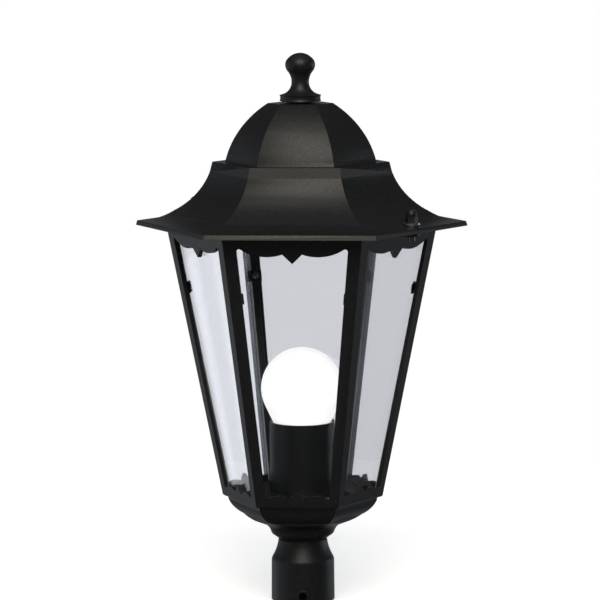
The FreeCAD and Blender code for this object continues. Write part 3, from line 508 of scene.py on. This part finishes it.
# %% Two screens beside the backdrop
SCREEN_BACK = 0.48
SCREEN_NEAR, SCREEN_FAR = 0.14, 0.24
offset = add(tree, "ShaderNodeMath", {0: axis["Y"], 1: SCREEN_BACK}, operation="SUBTRACT")
offset = add(tree, "ShaderNodeMath", {0: offset.outputs["Value"]}, operation="ABSOLUTE")
beside = add(tree, "ShaderNodeMapRange",
             {"Value": offset.outputs["Value"], "From Min": SCREEN_NEAR, "From Max": SCREEN_FAR,
              "To Min": 1.0, "To Max": 0.0}).outputs["Result"]
side = add(tree, "ShaderNodeMapRange",
           {"Value": axis["X"], "From Min": -0.2, "From Max": 0.2,
            "To Min": soft["left_screen"], "To Max": soft["right_screen"]}).outputs["Result"]
screens = soft["screen_top"]
for factor in (soft["screen_foot"], beside, side):
    screens = add(tree, "ShaderNodeMath", {0: screens, 1: factor}, operation="MULTIPLY").outputs["Value"]
print("two screens from", SCREEN_BACK - SCREEN_FAR, "to", SCREEN_BACK + SCREEN_FAR, "back")

# %% Backdrop, wall and ceiling
BACKDROP, CEILING = 0.8, 0.2
backdrop = add(tree, "ShaderNodeMapRange",
               {"Value": axis["Y"], "From Min": soft["backdrop_side"], "From Max": 1.0,
                "To Min": 0.0, "To Max": BACKDROP}).outputs["Result"]
for factor in (soft["backdrop_top"], soft["backdrop_foot"]):
    backdrop = add(tree, "ShaderNodeMath", {0: backdrop, 1: factor}, operation="MULTIPLY").outputs["Value"]
walls = add(tree, "ShaderNodeMapRange",
            {"Value": axis["Z"], "From Min": 0.2, "From Max": 0.5,
             "To Min": soft["left_wall"], "To Max": DARK}).outputs["Result"]
ceiling = add(tree, "ShaderNodeMapRange",
              {"Value": axis["Z"], "From Min": 0.6, "From Max": 0.95,
               "To Min": walls, "To Max": CEILING}).outputs["Result"]
shine = ceiling
for patch in (screens, backdrop):
    shine = add(tree, "ShaderNodeMath", {0: shine, 1: patch}, operation="MAXIMUM").outputs["Value"]
print("backdrop", BACKDROP, "ceiling", CEILING, "and the rest", DARK)

# %% [markdown]
# ## What each ray sees
# A straight look sees white, a mirror sees the studio's patches, and whatever scatters light gets a soft
# even share from all round.

# %% World
AMBIENT = 0.45
straight, mirrored = straight_view(tree)
ambient = add(tree, "ShaderNodeBackground", {"Color": paint("#F4F6FA"), "Strength": AMBIENT})
reflected = add(tree, "ShaderNodeBackground", {"Color": paint("#EEF2FA"), "Strength": shine})
white = add(tree, "ShaderNodeBackground", {"Color": paint("#FFFFFF"), "Strength": 1.0})
lit = add(tree, "ShaderNodeMixShader",
          {0: mirrored, 1: ambient.outputs["Background"], 2: reflected.outputs["Background"]})
shown = add(tree, "ShaderNodeMixShader",
            {0: straight, 1: lit.outputs["Shader"], 2: white.outputs["Background"]})
add(tree, "ShaderNodeOutputWorld", {"Surface": shown.outputs["Shader"]})
print("world: white to the eye, dark to a mirror but for its backdrop and two low screens")

# %% [markdown]
# ## The light in front
# A softbox is a lamp behind a large white cloth. Its size is what makes the sheen on the dome broad, with
# soft ends.

# %% Soft light
LOOK_AT = Vector((0, 0, 0.25))


def softbox(name, azimuth, elevation, distance, width, height, watts):
    """A large panel that looks at the lantern; azimuth 0 is in front of it and grows to the right."""
    a, e = math.radians(azimuth), math.radians(elevation)
    towards = Vector((math.sin(a) * math.cos(e), -math.cos(a) * math.cos(e), math.sin(e)))
    data = bpy.data.lights.new(name, "AREA")
    data.shape = "RECTANGLE"
    data.size = width
    data.size_y = height
    data.energy = watts
    data.color = paint("#FFFAEC")[:3]
    panel = bpy.data.objects.new(name, data)
    panel.location = LOOK_AT + distance * towards
    panel.rotation_euler = towards.to_track_quat("Z", "Y").to_euler()
    bpy.context.scene.collection.objects.link(panel)
    print(name, "at", [round(x, 2) for x in panel.location])


softbox("front_softbox", azimuth=3, elevation=45, distance=2.0, width=1.2, height=1.7, watts=31)

# %% [markdown]
# ## Camera
# A long lens a good two metres away, a little above and a few degrees to the right of straight on. These
# values come from fitting the six sided eaves and the cage's corners.

# %% Camera
AZIMUTH = math.radians(4.47)
PITCH = math.radians(7.19)
ROLL = math.radians(-0.33)
DISTANCE = 2.411
LENS_MM, SENSOR_MM = 196.8, 36.0
AIM = Vector((0, 0, 0.2235))
LEFT_OF_AXIS = 1.08 * MM
camera_data = bpy.data.cameras.new("camera")
camera_data.lens = LENS_MM
camera_data.sensor_width = SENSOR_MM
camera = bpy.data.objects.new("camera", camera_data)
right = Vector((math.cos(AZIMUTH), math.sin(AZIMUTH), 0))
turn = (Matrix.Rotation(AZIMUTH, 4, "Z") @ Matrix.Rotation(math.pi / 2 - PITCH, 4, "X")
        @ Matrix.Rotation(ROLL, 4, "Z"))
back = turn.to_3x3() @ Vector((0, 0, 1))
camera.matrix_world = Matrix.Translation(AIM - LEFT_OF_AXIS * right + DISTANCE * back) @ turn
bpy.context.scene.collection.objects.link(camera)
bpy.context.scene.camera = camera
bpy.context.scene.view_settings.view_transform = "Standard"
print("camera at", [round(x, 3) for x in camera.matrix_world.translation])
